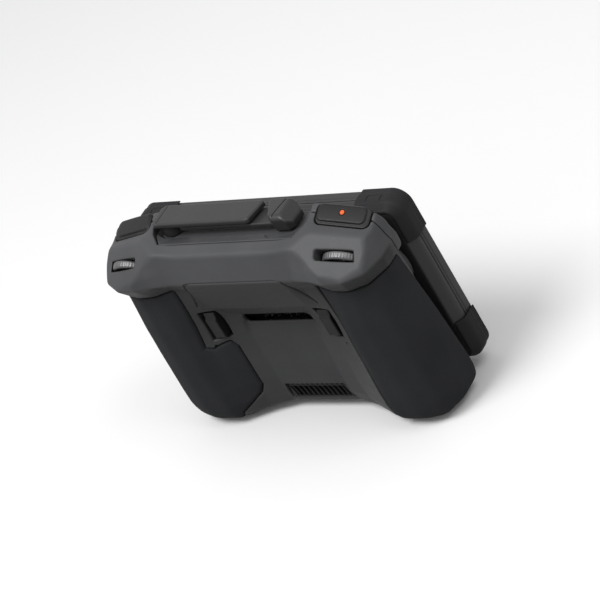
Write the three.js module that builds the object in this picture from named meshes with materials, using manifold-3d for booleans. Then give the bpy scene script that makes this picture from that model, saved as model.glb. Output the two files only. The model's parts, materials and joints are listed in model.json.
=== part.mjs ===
// Radio transmitter controller with a fold-up screen, shown folded and standing on its two grip ends.
// Millimetres, +Z up, +Y towards the back of the case, -Y towards the screen.
// Left and right in the names are the user's: left is +X, seen from behind the case.
import * as THREE from 'three';
import { mergeVertices } from 'three/addons/utils/BufferGeometryUtils.js';
import Module from 'manifold-3d';

const wasm = await Module();
wasm.setup();

// ---- driving dimensions ----
const GAP = 0.3;                 // clearance between neighbouring pieces
const CENTRE_SHIFT = 10;         // the case is drawn about its parting line, then moved back by this
const WALL = 2.2;                // shell wall
const GRIP_SKIN = 2.0;           // rubber grip thickness
const FRONT_Y = -2;              // front face of the case
const BOTTOM_Z = 5;              // underside of the case between the grips
const SEAM_Y0 = 1.6;             // parting line between the shells at z = 0
const SEAM_SLOPE = 0.065;        // how far the parting line moves back for each mm up
const TRAY_Z = 124.6;            // floor under the folded antennas
const RIM_Z = 128.3;             // rear edge of the antenna bay
const TOP_Z = 134;               // highest point of the shoulders

const HINGE_Y = -2.5;            // axis of both screen hinges when folded
const HINGE_Z = 118;             // screen arm hinge
const TILT_Z = 63.5;             // screen tilt hinge, at the middle of the screen
const ARM_HALF = 16;             // half width of the screen arm
const ARM_HALF_THICK = 2.6;

const SCREEN_HALF_X = 89.2;      // half width of the screen body without its bumpers
const SCREEN_HALF_Z = 55;
const SCREEN_BACK_Y = -6;
const SCREEN_SPLIT_Y = -14;
const SCREEN_FRONT_Y = -21.1;
const BUMPER_OUT = 1.6;          // how far the rubber bumpers stand out of the screen's edge

const STICK_X = 62;
const STICK_Z = 82;
const WELL_R = 16.7;
const STICK_PIVOT_Y = 9;

const DIAL_CENTRE = [71.8, 25.8, 112.3];
const DIAL_R = 11.5;
const DIAL_WIDTH = 4.2;
const DIAL_TILT = Math.PI / 6;   // the dials stand square to the sloped shoulder

const BUTTON_CENTRE = [71.5, 9.8, 129];
const BUTTON_SIZE = [30.6, 12.2];
const BUTTON_YAW = -4;
const BUTTON_ROLL = 15.2;        // degrees that it falls away outwards
const BUTTON_PITCH = -22.6;      // and towards the back

const ANTENNA_LEFT = [44.5, 8.8];  // vertical pivots of the two antennas
const ANTENNA_RIGHT = [-31, 8.5];

// ---- solids ----
function solidOf(geometry) {
  const bare = geometry.index ? geometry.toNonIndexed() : geometry.clone();
  bare.deleteAttribute('normal');
  bare.deleteAttribute('uv');
  const merged = mergeVertices(bare, 1e-4);
  const vertProperties = new Float32Array(merged.attributes.position.array);
  const triVerts = new Uint32Array(merged.index.array);
  const solid = new wasm.Manifold(new wasm.Mesh({ numProp: 3, vertProperties, triVerts }));
  if (solid.volume() > 0) return solid;
  return new wasm.Manifold(new wasm.Mesh({ numProp: 3, vertProperties, triVerts: triVerts.reverse() }));
}

function box(x0, x1, y0, y1, z0, z1) {
  const geometry = new THREE.BoxGeometry(x1 - x0, y1 - y0, z1 - z0);
  geometry.translate((x0 + x1) / 2, (y0 + y1) / 2, (z0 + z1) / 2);
  return solidOf(geometry);
}

// A cylinder from one centre along an axis letter, from a to b on that axis.
function rod(axis, radius, centre, a, b, sides = 24) {
  const geometry = new THREE.CylinderGeometry(radius, radius, b - a, sides);
  const turn = { x: [0, 0, -Math.PI / 2], y: [0, 0, 0], z: [Math.PI / 2, 0, 0] }[axis];
  geometry.applyMatrix4(new THREE.Matrix4().makeRotationFromEuler(new THREE.Euler(...turn)));
  const middle = (a + b) / 2;
  const [p, q] = centre;
  const place = { x: [middle, p, q], y: [p, middle, q], z: [p, q, middle] }[axis];
  geometry.translate(...place);
  return solidOf(geometry);
}

// A prism over a flat outline: 'xz' outlines run along Y, 'xy' outlines along Z, 'yz' outlines along X.
function prism(plane, outline, a, b) {
  const shape = new THREE.Shape(outline.map(([p, q]) => new THREE.Vector2(p, q)));
  const geometry = new THREE.ExtrudeGeometry(shape, { depth: b - a, bevelEnabled: false, steps: 1 });
  const axes = {
    xy: [[1, 0, 0], [0, 1, 0], [0, 0, 1]],
    xz: [[1, 0, 0], [0, 0, 1], [0, -1, 0]],
    yz: [[0, 1, 0], [0, 0, 1], [1, 0, 0]],
  }[plane].map((v) => new THREE.Vector3(...v));
  geometry.applyMatrix4(new THREE.Matrix4().makeBasis(...axes));
  const along = { xy: [0, 0, a], xz: [0, b, 0], yz: [a, 0, 0] }[plane];
  geometry.translate(...along);
  return solidOf(geometry);
}

// A closed skin through rings with the same number of points, all running the same way round.
function loft(rings) {
  const count = rings[0].length;
  const positions = rings.flat(2);
  const index = [];
  for (let r = 0; r + 1 < rings.length; r += 1) {
    for (let i = 0; i < count; i += 1) {
      const a = r * count + i;
      const b = r * count + (i + 1) % count;
      index.push(a, b, b + count, a, b + count, a + count);
    }
  }
  const cap = (ring, offset, flip) => {
    const flat = ring.map((p) => new THREE.Vector2(p[0], p[1] + p[2] * 1e-7));
    const spread = Math.max(...ring.map((p) => p[2])) - Math.min(...ring.map((p) => p[2]));
    if (spread > 1e-3) flat.forEach((v, i) => v.set(ring[i][0], ring[i][2]));
    for (const [a, b, c] of THREE.ShapeUtils.triangulateShape(flat, [])) {
      index.push(...(flip ? [a, c, b] : [a, b, c]).map((i) => i + offset));
    }
  };
  cap(rings[0], 0, true);
  cap(rings[rings.length - 1], (rings.length - 1) * count, false);
  const geometry = new THREE.BufferGeometry();
  geometry.setAttribute('position', new THREE.Float32BufferAttribute(positions, 3));
  geometry.setIndex(index);
  return solidOf(geometry);
}

function roundedRect(halfX, halfY, radius, steps = 4) {
  const outline = [];
  const corners = [[1, 1], [-1, 1], [-1, -1], [1, -1]];
  corners.forEach(([sx, sy], corner) => {
    for (let i = 0; i <= steps; i += 1) {
      const turn = (corner + i / steps) * Math.PI / 2;
      const middle = [sx * (halfX - radius), sy * (halfY - radius)];
      outline.push([middle[0] + radius * Math.cos(turn), middle[1] + radius * Math.sin(turn)]);
    }
  });
  return outline;
}

function mirrorX(solid) {
  return solid.mirror([1, 0, 0]);
}

// ---- materials ----
function material(color, roughness, metalness = 0) {
  return new THREE.MeshStandardMaterial({ color, roughness, metalness });
}
const shellPlastic = material('#4b4c4e', 0.55);
const darkPlastic = material('#2f3033', 0.5);
const satinPlastic = material('#444446', 0.42);
const gripRubber = material('#26272a', 0.85);
const bumperRubber = material('#1c1d1f', 0.8);
const displayGlass = material('#0b0c0e', 0.08);
const dialMetal = material('#7c7d80', 0.35, 0.8);
const pinSteel = material('#9a9c9f', 0.3, 1);
const hingeAlloy = material('#5a5c60', 0.4, 0.9);
const boardGreen = material('#1f3b2d', 0.6);
const cellBlue = material('#2b3340', 0.6);
const sinkAlloy = material('#8f9296', 0.45, 0.9);
const recordOrange = material('#e8702a', 0.5);

const model = new THREE.Group();
model.position.y = -CENTRE_SHIFT;

function add(name, solid, look) {
  const { vertProperties, triVerts } = solid.getMesh();
  const geometry = new THREE.BufferGeometry();
  geometry.setAttribute('position', new THREE.Float32BufferAttribute(vertProperties, 3));
  geometry.setIndex(new THREE.BufferAttribute(new Uint32Array(triVerts), 1));
  geometry.computeVertexNormals();
  const mesh = new THREE.Mesh(geometry, look);
  mesh.name = name;
  model.add(mesh);
}

// ---- outer form of the case ----
// Half sections at each height, from the middle of the back round to the side: edge of the flat middle,
// two points up the flank, the inner and outer crest of the grip, the corner, and the side.
const STATIONS = [
  [0, [24, 18], [44, 19], [52, 22], [60, 26], [70, 26], [76, 24], [78, 18]],
  [3, [24, 20], [40, 24], [48, 28], [58, 32.5], [71, 32.5], [82, 29.5], [86.5, 18]],
  [8, [23, 21.7], [38, 26.5], [48, 31.5], [57, 36.3], [72, 36.3], [84.5, 32], [91.3, 18]],
  [16, [22, 23.6], [35, 27], [47, 33], [57, 38], [72, 38], [86, 33.2], [93, 19]],
  [27, [22, 23.8], [34, 26.7], [48, 33.5], [57, 38], [72, 38], [86, 33], [93.2, 19]],
  [57, [23, 22.4], [36, 26], [49, 31], [58, 37], [71, 37.5], [85, 32.5], [92.7, 18]],
  [67, [23, 20.6], [36, 25.6], [49, 29.8], [58.5, 36.8], [71, 37.2], [84.7, 32], [92.4, 18]],
  [72.7, [24, 21.5], [36, 25.5], [49, 29.5], [59, 36.5], [71, 37], [84.5, 32], [92, 18]],
  [84, [33, 28.6], [39, 28], [49, 29.5], [60, 35.5], [71, 36], [84, 31], [91.4, 18]],
  [99.5, [33, 33.4], [40, 31], [49, 30], [62, 34], [72, 34.6], [83, 30], [90.5, 18]],
  [104, [33, 34.7], [41, 33.5], [50, 33], [63, 37.5], [74, 37.5], [85, 32], [91.5, 20]],
  [110, [33, 36.2], [42, 36.5], [54, 38.5], [64, 41.4], [76, 41.2], [87, 34.5], [92, 22]],
  [116, [33, 34.9], [44, 35.2], [56, 38.3], [64, 41.2], [76, 40], [86, 34], [90.5, 22]],
  [121, [35, 33.6], [44, 33.8], [54, 35.5], [62, 40], [76, 40], [86, 34], [90.5, 22]],
  [126.6, [38, 32.1], [44, 32.3], [52, 33.5], [60, 38], [76, 38], [86, 33], [90, 20]],
  [TOP_Z, [38, 32.1], [44, 32.3], [52, 33.5], [60, 38], [76, 38], [86, 33], [88, 20]],
];
const CHAMFER_X = 7;             // width of the chamfer along the front of each side
const STRIP = [[0, 0.8], [72.7, 1.2], [84, 4], [104, 5.5], [TOP_Z, 5.5]];  // front shell seen from the side

// Planes that bound the top of each shoulder, as a normal and its distance from the origin.
const plane = (nx, ny, nz, d) => {
  const length = Math.hypot(nx, ny, nz);
  return [[nx / length, ny / length, nz / length], d / length];
};
const slopeThrough = (perX, perY, [x, y, z]) => plane(-perX, -perY, 1, z - perX * x - perY * y);
const BUTTON_PLANE = slopeThrough(-0.271, -0.434, [71.3, 9.3, 129.4]);
const SHELF_PLANE = slopeThrough(-0.25, 0.07, [57, 25.5, 131.3]);
const RIM_PLANE = slopeThrough(0, -0.338, [0, 24.7, RIM_Z]);
const INNER_PLANE = slopeThrough(0.256, -0.13, [57, 25.5, 131.3]);
const DIAL_PLANE = plane(0.25, 0.6, 0.76, 128);
const SIDE_PLANE = plane(0.93, 0.12, 0.34, 125.4);
const FRONT_PLANE = slopeThrough(-0.271, 2.03, [71.3, 5, 130.2]);

// Width of the strip of front shell between the parting line and the chamfer, at a height.
function stripAt(z) {
  const next = Math.max(1, STRIP.findIndex(([height]) => height >= z));
  const [[z0, w0], [z1, w1]] = STRIP.slice(next - 1);
  return w0 + (w1 - w0) * (z - z0) / (z1 - z0);
}

function caseRing([z, ...half], inset) {
  const front = FRONT_Y + inset + (z === 0 ? 3 : 0);
  const moved = half.map(([x, y], i) => {
    if (i === 6) return [x - inset, y - inset / 2];
    if (i === 5) return [x - 0.8 * inset, y - 0.8 * inset];
    return [x, y - inset];
  });
  const side = moved[6][0];
  const edgeY = Math.max(front + 0.3, SEAM_Y0 + SEAM_SLOPE * z - stripAt(z) + inset / 2);
  const around = [[0, front], [side - CHAMFER_X, front], [side, edgeY], ...moved.slice().reverse()];
  around.push([0, moved[0][1]]);
  return around.map(([x, y]) => [x, y, z]);
}

function caseForm(inset, lowest, highest) {
  const used = STATIONS.filter(([z]) => z >= lowest && z <= highest);
  const below = (solid, [normal, distance]) => solid.trimByPlane(normal.map((n) => -n), inset - distance);
  let half = loft(used.map((station) => caseRing(station, inset)));
  for (const single of [DIAL_PLANE, SIDE_PLANE, FRONT_PLANE]) {
    half = below(half, single);
  }
  for (const [one, other] of [[BUTTON_PLANE, SHELF_PLANE], [RIM_PLANE, INNER_PLANE]]) {
    half = below(half, one).add(below(half, other));
  }
  return half.add(mirrorX(half));
}

// Everything below the middle of the case and between the grips.
const UNDER = [[-62, -9], [62, -9], [57, 0], [47, 3.5], [36, BOTTOM_Z], [-36, BOTTOM_Z], [-47, 3.5], [-57, 0]];
const underCut = prism('xz', UNDER, -30, 60);

// Shallow bay on top of the case that holds the antennas, open to the front.
const TRAY_PLATE = 1.8;
const TRAY_FRONT_Y = -1;
const trayOutline = (grow, frontY) => [
  [-52.5 + grow, frontY], [52.5 - grow, frontY], [52.5 - grow, 14.5], [51 - grow, 18.5],
  [45.5 - grow * 0.4, 24.8 - grow], [-45.5 + grow * 0.4, 24.8 - grow], [-51 + grow, 18.5], [-52.5 + grow, 14.5],
];
const SWEEP_R = 9.6;             // room for the end of the upper antenna to turn
const sweepRoom = rod('z', SWEEP_R, ANTENNA_LEFT, TRAY_Z - GAP, 140, 32);
const trayCut = prism('xy', trayOutline(0, -6), TRAY_Z - TRAY_PLATE - GAP, 140)
  .add(sweepRoom).add(mirrorX(sweepRoom));

function buttonBlock(grow, z0, z1) {
  const outline = roundedRect(BUTTON_SIZE[0] / 2 + grow, BUTTON_SIZE[1] / 2 + grow, 3.5 + grow, 3);
  return prism('xy', outline, z0, z1)
    .rotate([0, 0, BUTTON_YAW])
    .rotate([BUTTON_PITCH, BUTTON_ROLL, 0])
    .translate(BUTTON_CENTRE);
}

function dialDisc(radius, width, sides) {
  return rod('y', radius, [0, 0], -width / 2, width / 2, sides)
    .rotate([-DIAL_TILT * 180 / Math.PI, 0, 0])
    .translate(DIAL_CENTRE);
}

const PADDLE_BAY = [[31, 60.5], [45.4, 60.5], [45.4, 80.8], [31, 80.8]];
const PADDLE_BAY_FLOOR = 18;
const paddleBay = prism('xz', PADDLE_BAY, PADDLE_BAY_FLOOR, 40);
const SLOT = [-22.5, 22.5, 67.2, 72.6];
const slotCut = box(SLOT[0], SLOT[1], 12, 30, SLOT[2], SLOT[3]);
const VENT = [[-21.4, 9.8], [21.4, 9.8], [20.6, 21.4], [-20.6, 21.4]];
const VENT_BACK = 20.6;
const ventCut = prism('xz', VENT, VENT_BACK - 4, 40);

const outer = caseForm(0, 0, TOP_Z).subtract(underCut).subtract(trayCut);

// Rubber grips wrap the back and side of each handle.
// The left one reaches further in behind the case than the right one, whose outline is given mirrored.
const GRIP_TOP = [[57, -1], [97, -1], [97, 102], [82, 99.3], [69, 98.4], [58, 98.6], [48.7, 100]];
const GRIP_LEFT = [
  ...GRIP_TOP, [50.8, 57.5], [47, 55.5], [42, 57], [36.5, 57.5], [33.8, 53], [33.2, 24], [36, 19], [52, 8.5],
];
const GRIP_RIGHT = [...GRIP_TOP, [49.4, 85], [50.6, 61], [53, 44], [54, 25], [54.6, 9]];
function gripZone(edge, grow) {
  const zone = prism('xz', grownOutline(edge, grow), -30, 60);
  return zone.subtract(frontOf(GAP - grow));
}

// An anticlockwise outline with every edge moved outwards by the same distance.
function grownOutline(outline, distance) {
  const normal = ([x0, z0], [x1, z1]) => new THREE.Vector2(z1 - z0, x0 - x1).normalize();
  return outline.map((point, i) => {
    const before = normal(outline.at(i - 1), point);
    const after = normal(point, outline[(i + 1) % outline.length]);
    const move = before.clone().add(after).multiplyScalar(distance / (1 + before.dot(after)));
    return [point[0] + move.x, point[1] + move.y];
  });
}

// Half spaces in front of and behind the parting line, moved back by an offset.
function frontOf(offset) {
  const block = box(-200, 200, -300, 0, -200, 300);
  return block.rotate([-Math.atan(SEAM_SLOPE) * 180 / Math.PI, 0, 0]).translate([0, SEAM_Y0 + offset, 0]);
}

const bothSides = (solid) => solid.add(mirrorX(solid));
const bothGrips = (grow) => gripZone(GRIP_LEFT, grow).add(mirrorX(gripZone(GRIP_RIGHT, grow)));
const zonesCut = bothGrips(GAP);
const underGrip = caseForm(GRIP_SKIN + GAP, 3, 104).subtract(underCut)
  .intersect(box(-100, 100, -30, 60, 3 + GAP, 110));
const gripInner = caseForm(GRIP_SKIN, 3, 104);
const cavityLow = 8;
const cavityHigh = 121;
const thinCavity = caseForm(WALL, cavityLow, cavityHigh).subtract(bothGrips(GAP + WALL));
const cavity = caseForm(GRIP_SKIN + GAP + 2, cavityLow, cavityHigh).add(thinCavity);

function addPair(name, solid, look) {
  add(`${name}_left`, solid, look);
  add(`${name}_right`, mirrorX(solid), look);
}

const buttonPocket = buttonBlock(GAP + 0.1, -5.4, 8);
const dialPocket = dialDisc(DIAL_R + 1, DIAL_WIDTH + 1.6, 24)
  .intersect(box(40, 100, -10, 60, 96, 140));
const bothCuts = bothSides(buttonPocket.add(dialPocket).add(paddleBay));

const caseBody = outer.subtract(zonesCut.subtract(underGrip)).subtract(cavity.add(bothCuts));
const rearShell = caseBody.subtract(frontOf(GAP / 2)).subtract(slotCut).subtract(ventCut);
add('rear_shell', largest(rearShell), shellPlastic);
add('grip_left', gripZone(GRIP_LEFT, 0).intersect(outer).subtract(gripInner), gripRubber);
add('grip_right', mirrorX(gripZone(GRIP_RIGHT, 0)).intersect(outer).subtract(gripInner), gripRubber);

function largest(solid) {
  const pieces = solid.decompose();
  return pieces.sort((a, b) => b.volume() - a.volume())[0];
}

// ---- front shell: stick wells, arm recess and key holes ----
const BOSS_Y = -5.2;
const KEY_X = 38;
const KEYS = [
  ['power_button', [KEY_X, 108], 4],
  ['home_button', [-KEY_X, 108], 4],
  ['five_way_key', [KEY_X, 56], 5.5],
];
const ringOf = (outerR, innerR, y0, y1, sides = 40) => rod('y', outerR, [STICK_X, STICK_Z], y0, y1, sides)
  .subtract(rod('y', innerR, [STICK_X, STICK_Z], y0 - 1, y1 + 1, sides));
const boss = ringOf(WELL_R + 3, WELL_R, BOSS_Y, FRONT_Y + 0.5, 32);
const wellHole = rod('y', WELL_R, [STICK_X, STICK_Z], -20, 40, 32);
const armRecess = box(-21.5, 21.5, -8, 1.2, 50, TRAY_Z - TRAY_PLATE - GAP + 0.1);
let frontShell = caseBody.intersect(frontOf(-GAP / 2));
frontShell = frontShell.add(boss).add(mirrorX(boss)).subtract(wellHole).subtract(mirrorX(wellHole));
// the wall behind the arm recess steps back where the hinge bracket is screwed on
const recessWall = box(-24, 24, -1, 3, 48, 120).add(box(-24, 24, -1, 5, 105, 121.8));
frontShell = frontShell.add(recessWall).subtract(armRecess)
  .subtract(box(-19.5, 19.5, -8, 3.1, 106.5, TRAY_Z - TRAY_PLATE - GAP + 0.1));
for (const [, centre, radius] of KEYS) {
  frontShell = frontShell.subtract(rod('y', radius + GAP, centre, -10, 10, 20));
}
add('front_shell', largest(frontShell), shellPlastic);

// ---- antenna tray and antennas ----
const PIVOT_R = 2;
const RIM_WALL = 1.4;
const tray = prism('xy', trayOutline(GAP, TRAY_FRONT_Y), TRAY_Z - TRAY_PLATE, RIM_Z - 0.1)
  .subtract(prism('xy', trayOutline(GAP + RIM_WALL, -5), TRAY_Z, RIM_Z + 1))
  .subtract(rod('z', SWEEP_R, ANTENNA_LEFT, TRAY_Z, RIM_Z + 1, 32));
add('antenna_tray', tray, shellPlastic);

const LOWER_ARM_Z = [128.9, 131.5];
const UPPER_ARM_Z = [132.1, 135.6];
const bar = (x0, x1, y0, y1, z0, z1, cut) => prism('xy', [
  [x0 + cut, y0], [x1 - cut, y0], [x1, y0 + cut], [x1, y1 - cut],
  [x1 - cut, y1], [x0 + cut, y1], [x0, y1 - cut], [x0, y0 + cut],
], z0, z1);
const upperAntenna = bar(-18.5, 51.8, 0.6, 16.6, ...UPPER_ARM_Z, 3)
  .add(rod('z', 6.6, ANTENNA_LEFT, TRAY_Z + GAP, UPPER_ARM_Z[0] + 1, 28))
  .subtract(rod('z', PIVOT_R + GAP, ANTENNA_LEFT, TRAY_Z - 2, 130.4, 16));
add('antenna_left', upperAntenna, satinPlastic);
add('antenna_pivot_left', rod('z', PIVOT_R, ANTENNA_LEFT, TRAY_Z + GAP, 130, 16), pinSteel);

const KNOB = [
  [-41.3, 3.4], [-38.5, 0.4], [-23.5, 0.4], [-21.8, 2], [-27.5, 14], [-30, 15.8], [-38.5, 15.8], [-41.3, 12.8],
];
const lowerAntenna = prism('xy', KNOB, TRAY_Z + GAP + 1.2, 135.2)
  .add(rod('z', 6, ANTENNA_RIGHT, TRAY_Z + GAP, 128, 28))
  .add(bar(-32, 35, 2, 15.4, ...LOWER_ARM_Z, 2))
  .subtract(rod('z', PIVOT_R + GAP, ANTENNA_RIGHT, TRAY_Z - 2, 130.4, 16));
add('antenna_right', lowerAntenna, satinPlastic);
add('antenna_pivot_right', rod('z', PIVOT_R, ANTENNA_RIGHT, TRAY_Z + GAP, 130, 16), pinSteel);

// ---- shoulder buttons, dials and rear paddles ----
const shoulderButton = buttonBlock(0, -4, 1.2);
add('photo_button', shoulderButton, darkPlastic);
const DOT_R = 1.3;
const dotAt = (radius, z0, z1) => rod('z', radius, [-0.6, -1.35], z0, z1, 14)
  .rotate([BUTTON_PITCH, BUTTON_ROLL, 0])
  .translate(BUTTON_CENTRE);
add('record_button', mirrorX(shoulderButton.subtract(dotAt(DOT_R + GAP, 0.2, 5))), darkPlastic);
add('record_dot', mirrorX(dotAt(DOT_R, 0.5, 1.2)), recordOrange);

const AXLE_R = 1.5;
addPair('dial_wheel', dialDisc(DIAL_R, DIAL_WIDTH, 32).subtract(dialDisc(AXLE_R + GAP, 20, 12)), dialMetal);
addPair('dial_axle', dialDisc(AXLE_R, DIAL_WIDTH + 6, 12), pinSteel);
const forkPlate = dialDisc(5, 1.6, 20).subtract(dialDisc(AXLE_R + GAP, 4, 12));
const forkOff = DIAL_WIDTH / 2 + 1.5;
const forkDown = [0, -Math.cos(DIAL_TILT) * forkOff, Math.sin(DIAL_TILT) * forkOff];
addPair('dial_bearing', forkPlate.translate(forkDown), darkPlastic);

const paddle = prism('yz', [
  [PADDLE_BAY_FLOOR + 2, 61.2], [27.6, 61.2], [28.4, 64], [28.4, 75.2], [27.3, 76.6], [27.3, 78.6], [26.6, 79.4],
  [PADDLE_BAY_FLOOR + 2, 79.4],
], 35.2, 42.8);
addPair('rear_paddle', paddle, darkPlastic);

// ---- cooling: grille, fan and heat sink ----
const ventOutline = VENT.map(([x, z]) => [x * 0.985, z + (z < 15 ? GAP : -GAP)]);
const ventPlate = prism('xz', ventOutline, VENT_BACK, VENT_BACK + 1.6);
let grille = ventPlate;
for (let column = -5; column <= 5; column += 1) {
  const x = column * 3.4;
  grille = grille.subtract(box(x - 1.1, x + 1.1, VENT_BACK - 1, VENT_BACK + 3, 11.6, 19.6));
}
add('vent_grille', grille, darkPlastic);

const FAN = [0, 40];
const FAN_R = 15;
const fanHousing = box(-18, 18, 5.6, 16.6, 22.5, 57.5)
  .subtract(rod('y', FAN_R + 1, FAN, 7, 30, 32))
  .subtract(box(-12, 12, 7, 15, 10, 30))
  .subtract(rod('y', 2, FAN, 0, 10, 16));
add('fan_housing', fanHousing, darkPlastic);
let rotor = rod('y', 6, FAN, 8, 15, 20);
for (let blade = 0; blade < 9; blade += 1) {
  const fin = box(5, FAN_R - 0.6, 8.4, 14.6, -0.5, 0.5)
    .rotate([0, blade * 40, 0])
    .translate([FAN[0], 0, FAN[1]]);
  rotor = rotor.add(fin);
}
add('fan_rotor', rotor, darkPlastic);
let sink = box(-20, 20, 6, 7.6, 61, 79);
for (let fin = 0; fin < 9; fin += 1) {
  const x = -19 + fin * 4.5;
  sink = sink.add(box(x, x + 1.2, 7.4, 11.6, 61, 79));
}
add('heat_sink', sink, sinkAlloy);

// ---- electronics ----
add('main_board', box(-40, 40, 3.6, 5.2, 12, 116).subtract(box(-60, 60, 0, 8, 104, 200)), boardGreen);
add('battery_pack', box(-29, 29, 8, 26, 86, 116), cellBlue);
add('usb_port', box(-4.6, 4.6, 8, 11.4, BOTTOM_Z + 3.4, 16).subtract(box(-3.6, 3.6, 8.8, 10.6, 0, 14)), pinSteel);
addPair('handle_cell', box(56, 80, 8, 28, 12, 50), cellBlue);

// ---- screen hinge, arm and tilt bracket ----
const PIN_R = 1.4;
const axisYZ = [HINGE_Y, HINGE_Z];
const tiltYZ = [HINGE_Y, TILT_Z];
const KNUCKLE_R = 3.3;
const TILT_R = 2.7;
const hingeBracket = box(-19, 19, 1.5, 2.8, 107, 121.5);
const lug = (x0, x1) => rod('x', KNUCKLE_R, axisYZ, x0, x1, 24)
  .add(box(x0, x1, HINGE_Y, 2, HINGE_Z - 2.4, HINGE_Z + 2.4));
const bracket = hingeBracket.add(lug(10.6, 15.4)).add(lug(-15.4, -10.6))
  .subtract(rod('x', PIN_R + GAP, axisYZ, -30, 30, 16));
add('hinge_bracket', bracket, hingeAlloy);
add('hinge_pin', rod('x', PIN_R, axisYZ, -16, 16, 16), pinSteel);
const arm = box(-ARM_HALF, ARM_HALF, HINGE_Y - ARM_HALF_THICK, HINGE_Y + ARM_HALF_THICK, TILT_Z + 4.4, HINGE_Z - 5.4)
  .add(rod('x', KNUCKLE_R, axisYZ, -10.2, 10.2, 24))
  .add(box(-10.2, 10.2, HINGE_Y - ARM_HALF_THICK, HINGE_Y + ARM_HALF_THICK, HINGE_Z - 6, HINGE_Z))
  .add(rod('x', TILT_R, tiltYZ, -8, 8, 24))
  .add(box(-8, 8, HINGE_Y - 2.4, HINGE_Y + 2.4, TILT_Z, TILT_Z + 5))
  .subtract(rod('x', PIN_R + GAP, axisYZ, -30, 30, 16))
  .subtract(rod('x', PIN_R + GAP, tiltYZ, -30, 30, 16));
add('screen_arm', arm, hingeAlloy);
add('tilt_pin', rod('x', PIN_R, tiltYZ, -13, 13, 16), pinSteel);
const tiltLug = (x0, x1) => rod('x', TILT_R, tiltYZ, x0, x1, 24)
  .add(box(x0, x1, -8, HINGE_Y, TILT_Z - 2.4, TILT_Z + 2.4));
const HUB_R = 17;
const tiltBracket = rod('y', HUB_R, [0, TILT_Z], -9.4, -6.6, 24)
  .add(tiltLug(8.4, 13)).add(tiltLug(-13, -8.4))
  .subtract(rod('x', PIN_R + GAP, tiltYZ, -30, 30, 16))
  .subtract(rod('y', 3.3, [0, TILT_Z], -12, 0, 20));
add('tilt_bracket', tiltBracket, hingeAlloy);
const hub = rod('y', HUB_R - 1, [0, TILT_Z], -12.2, -9.7, 24).add(rod('y', 3, [0, TILT_Z], -10, -6.4, 20));
add('swivel_hub', hub, pinSteel);

// ---- screen ----
function screenRing(y, halfX, halfZ, radius) {
  return roundedRect(halfX, halfZ, radius, 5).map(([x, z]) => [x, y, z + TILT_Z]);
}
function screenForm(grow, y0, y1) {
  const rings = [
    screenRing(SCREEN_FRONT_Y - (grow > 0 ? 0.3 : 0), SCREEN_HALF_X + grow, SCREEN_HALF_Z + grow, 8 + grow),
    screenRing(-10.5, SCREEN_HALF_X - 0.4 + grow, SCREEN_HALF_Z - 0.4 + grow, 8 + grow),
    screenRing(SCREEN_BACK_Y, SCREEN_HALF_X - 4.4 + grow, SCREEN_HALF_Z - 4.4 + grow, 5 + grow),
  ];
  return loft(rings).intersect(box(-200, 200, y0, y1, -100, 300));
}
const hubPocket = rod('y', HUB_R + 1, [0, TILT_Z], -12.6, 0, 24);
const screenInside = box(-84, 84, SCREEN_SPLIT_Y - 1, -8, TILT_Z - 50, TILT_Z + 50)
  .subtract(rod('y', HUB_R + 3, [0, TILT_Z], -13.9, 0, 24));
const rearCover = screenForm(0, SCREEN_SPLIT_Y + GAP / 2, SCREEN_BACK_Y)
  .subtract(screenInside).subtract(hubPocket);
add('screen_rear_cover', rearCover, satinPlastic);
const GLASS_HALF = [85, 51];
const screenFrame = screenForm(0, -30, SCREEN_SPLIT_Y - GAP / 2)
  .subtract(box(-GLASS_HALF[0] - GAP, GLASS_HALF[0] + GAP, -30, -18.6, TILT_Z - 51.3, TILT_Z + 51.3))
  .subtract(box(-80, 80, -30, 0, TILT_Z - 47, TILT_Z + 47));
add('screen_frame', screenFrame, satinPlastic);
add('display_glass', box(-GLASS_HALF[0], GLASS_HALF[0], -20.8, -18.9, TILT_Z - 51, TILT_Z + 51), displayGlass);
add('display_panel', box(-78.5, 78.5, -18.5, -15, TILT_Z - 45.5, TILT_Z + 45.5), boardGreen);

const bumperShell = screenForm(BUMPER_OUT, -30, 0).subtract(screenForm(GAP, -30, 0))
  .subtract(box(-84, 84, -30, -18, TILT_Z - 50, TILT_Z + 50));
const bumperZone = prism('xz', [[62.5, TILT_Z + 70], [62.5, TILT_Z + 48], [80, TILT_Z + 30], [110, TILT_Z + 30],
  [110, TILT_Z + 70]], -40, 20);
const lowerZone = prism('xz', [[62.5, TILT_Z - 70], [110, TILT_Z - 70], [110, TILT_Z - 28], [80, TILT_Z - 28],
  [62.5, TILT_Z - 48]], -40, 20);
addPair('bumper_top', largest(bumperShell.intersect(bumperZone)), bumperRubber);
addPair('bumper_bottom', largest(bumperShell.intersect(lowerZone)), bumperRubber);

// ---- thumb sticks ----
const stickRod = (radius, y0, y1, sides = 24) => rod('y', radius, [STICK_X, STICK_Z], y0, y1, sides);
const WELL_FLOOR_Y = 15.4;
const well = ringOf(WELL_R + 1.6, WELL_R, 3.4, WELL_FLOOR_Y, 32)
  .add(stickRod(WELL_R + 1.6, WELL_FLOOR_Y - 0.2, WELL_FLOOR_Y + 1.2, 32))
  .subtract(stickRod(4, 0, 40, 12));
addPair('stick_well', well, darkPlastic);
const base = stickRod(12.5, 13.7, 15.1, 24).subtract(stickRod(4, 0, 40, 12))
  .add(box(STICK_X - 11.6, STICK_X - 9.2, 7.4, 14, STICK_Z - 2.6, STICK_Z + 2.6))
  .add(box(STICK_X + 9.2, STICK_X + 11.6, 7.4, 14, STICK_Z - 2.6, STICK_Z + 2.6));
addPair('stick_lifter', base, hingeAlloy);
const gimbal = ringOf(8.4, 5.9, STICK_PIVOT_Y - 1.5, STICK_PIVOT_Y + 1.5, 20);
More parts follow.
